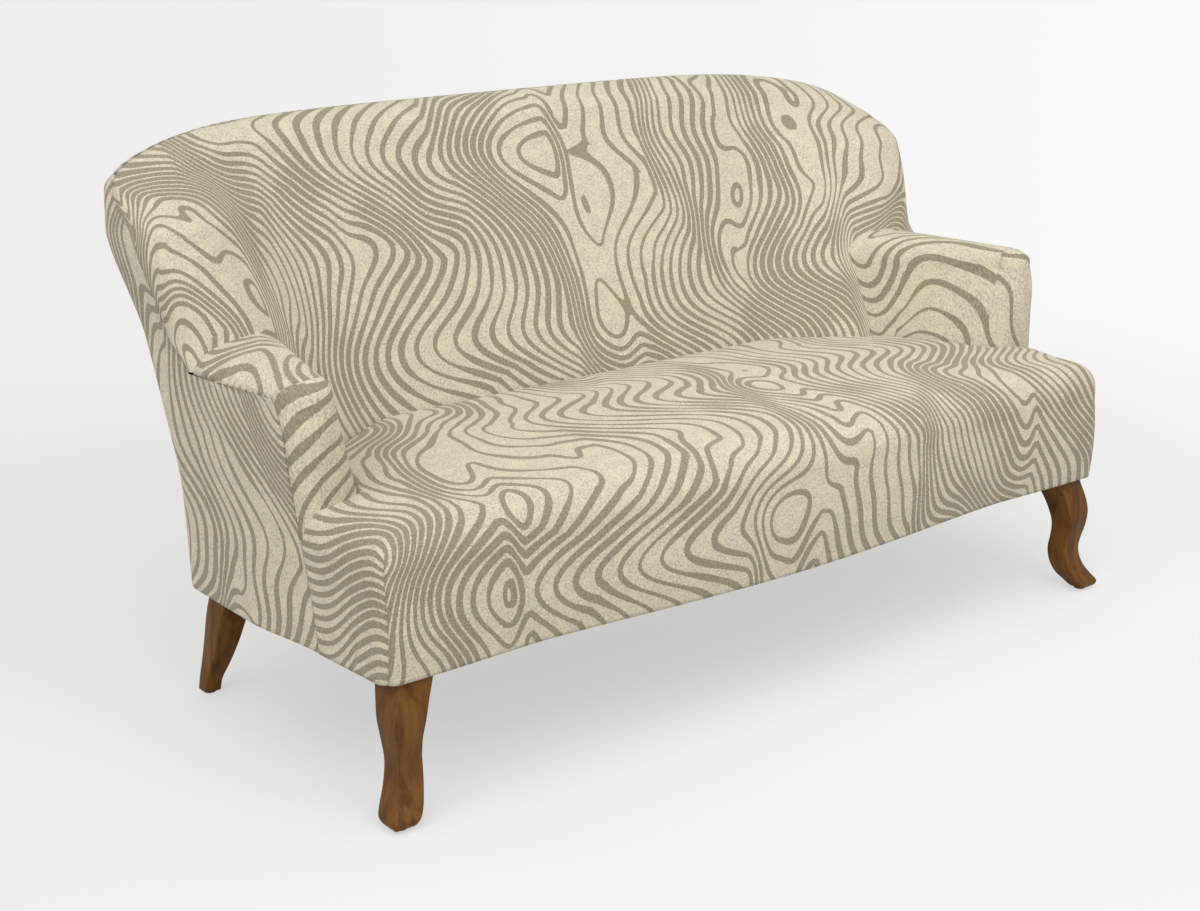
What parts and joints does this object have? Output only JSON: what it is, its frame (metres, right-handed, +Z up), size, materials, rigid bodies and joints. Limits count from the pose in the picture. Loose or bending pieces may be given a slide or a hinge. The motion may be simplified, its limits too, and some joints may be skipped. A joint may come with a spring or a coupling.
{
  "type": "cabriole sofa",
  "caption": "Upholstered sofa with a raked wrap-round back, low rolled arms, a tight sprung seat with a serpentine front and cabriole legs.",
  "frame": {"origin": "on the floor under the middle of the sofa's width and depth", "axes": "+X along the width, towards the right of a front view; -Y out of the front of the seat; +Z up"},
  "size_m": [1.72, 0.905, 0.945],
  "materials": {
    "upholstery_fabric": "matte woven",
    "foam": "matte cellular",
    "cloth": "matte non-woven",
    "webbing": "matte woven",
    "frame_timber": "planed, unfinished",
    "leg_wood": "satin",
    "spring_steel": "plain",
    "bolt_steel": "zinc plated",
    "glide_nylon": "matte"
  },
  "bodies": {
    "root": {"inside_back_cover": "upholstery_fabric", "inside_back_foam": "foam", "outside_back_panel": "upholstery_fabric", "outside_side_panel_left": "upholstery_fabric", "outside_side_panel_right": "upholstery_fabric", "inside_arm_cover_left": "upholstery_fabric", "arm_foam_left": "foam", "inside_arm_cover_right": "upholstery_fabric", "arm_foam_right": "foam", "seat_cover": "upholstery_fabric", "seat_foam": "foam", "front_seat_rail": "frame_timber", "back_seat_rail": "frame_timber", "side_seat_rail_left": "frame_timber", "side_seat_rail_right": "frame_timber", "seat_centre_stretcher": "frame_timber", "front_leg_left": "leg_wood", "front_leg_block_left": "frame_timber", "front_leg_bolt_left": "bolt_steel", "front_leg_glide_left": "glide_nylon", "front_leg_right": "leg_wood", "front_leg_block_right": "frame_timber", "front_leg_bolt_right": "bolt_steel", "front_leg_glide_right": "glide_nylon", "rear_leg_left": "leg_wood", "rear_leg_block_left": "frame_timber", "rear_leg_bolt_left": "bolt_steel", "rear_leg_glide_left": "glide_nylon", "rear_leg_right": "leg_wood", "rear_leg_block_right": "frame_timber", "rear_leg_bolt_right": "bolt_steel", "rear_leg_glide_right": "glide_nylon", "back_post_left": "frame_timber", "back_post_right": "frame_timber", "back_top_rail": "frame_timber", "back_lower_rail": "frame_timber", "back_centre_upright": "frame_timber", "wing_board_left": "frame_timber", "arm_post_left": "frame_timber", "arm_top_board_left": "frame_timber", "arm_tacking_rail_left": "frame_timber", "wing_board_right": "frame_timber", "arm_post_right": "frame_timber", "arm_top_board_right": "frame_timber", "arm_tacking_rail_right": "frame_timber", "seat_spring_1": "spring_steel", "seat_spring_2": "spring_steel", "seat_spring_3": "spring_steel", "seat_spring_4": "spring_steel", "seat_spring_5": "spring_steel", "seat_spring_6": "spring_steel", "spring_cover_cloth": "cloth", "back_strap_1": "webbing", "back_strap_2": "webbing", "back_strap_3": "webbing", "back_strap_4": "webbing", "back_strap_5": "webbing", "dust_cover": "cloth"}
  },
  "joints": []
}
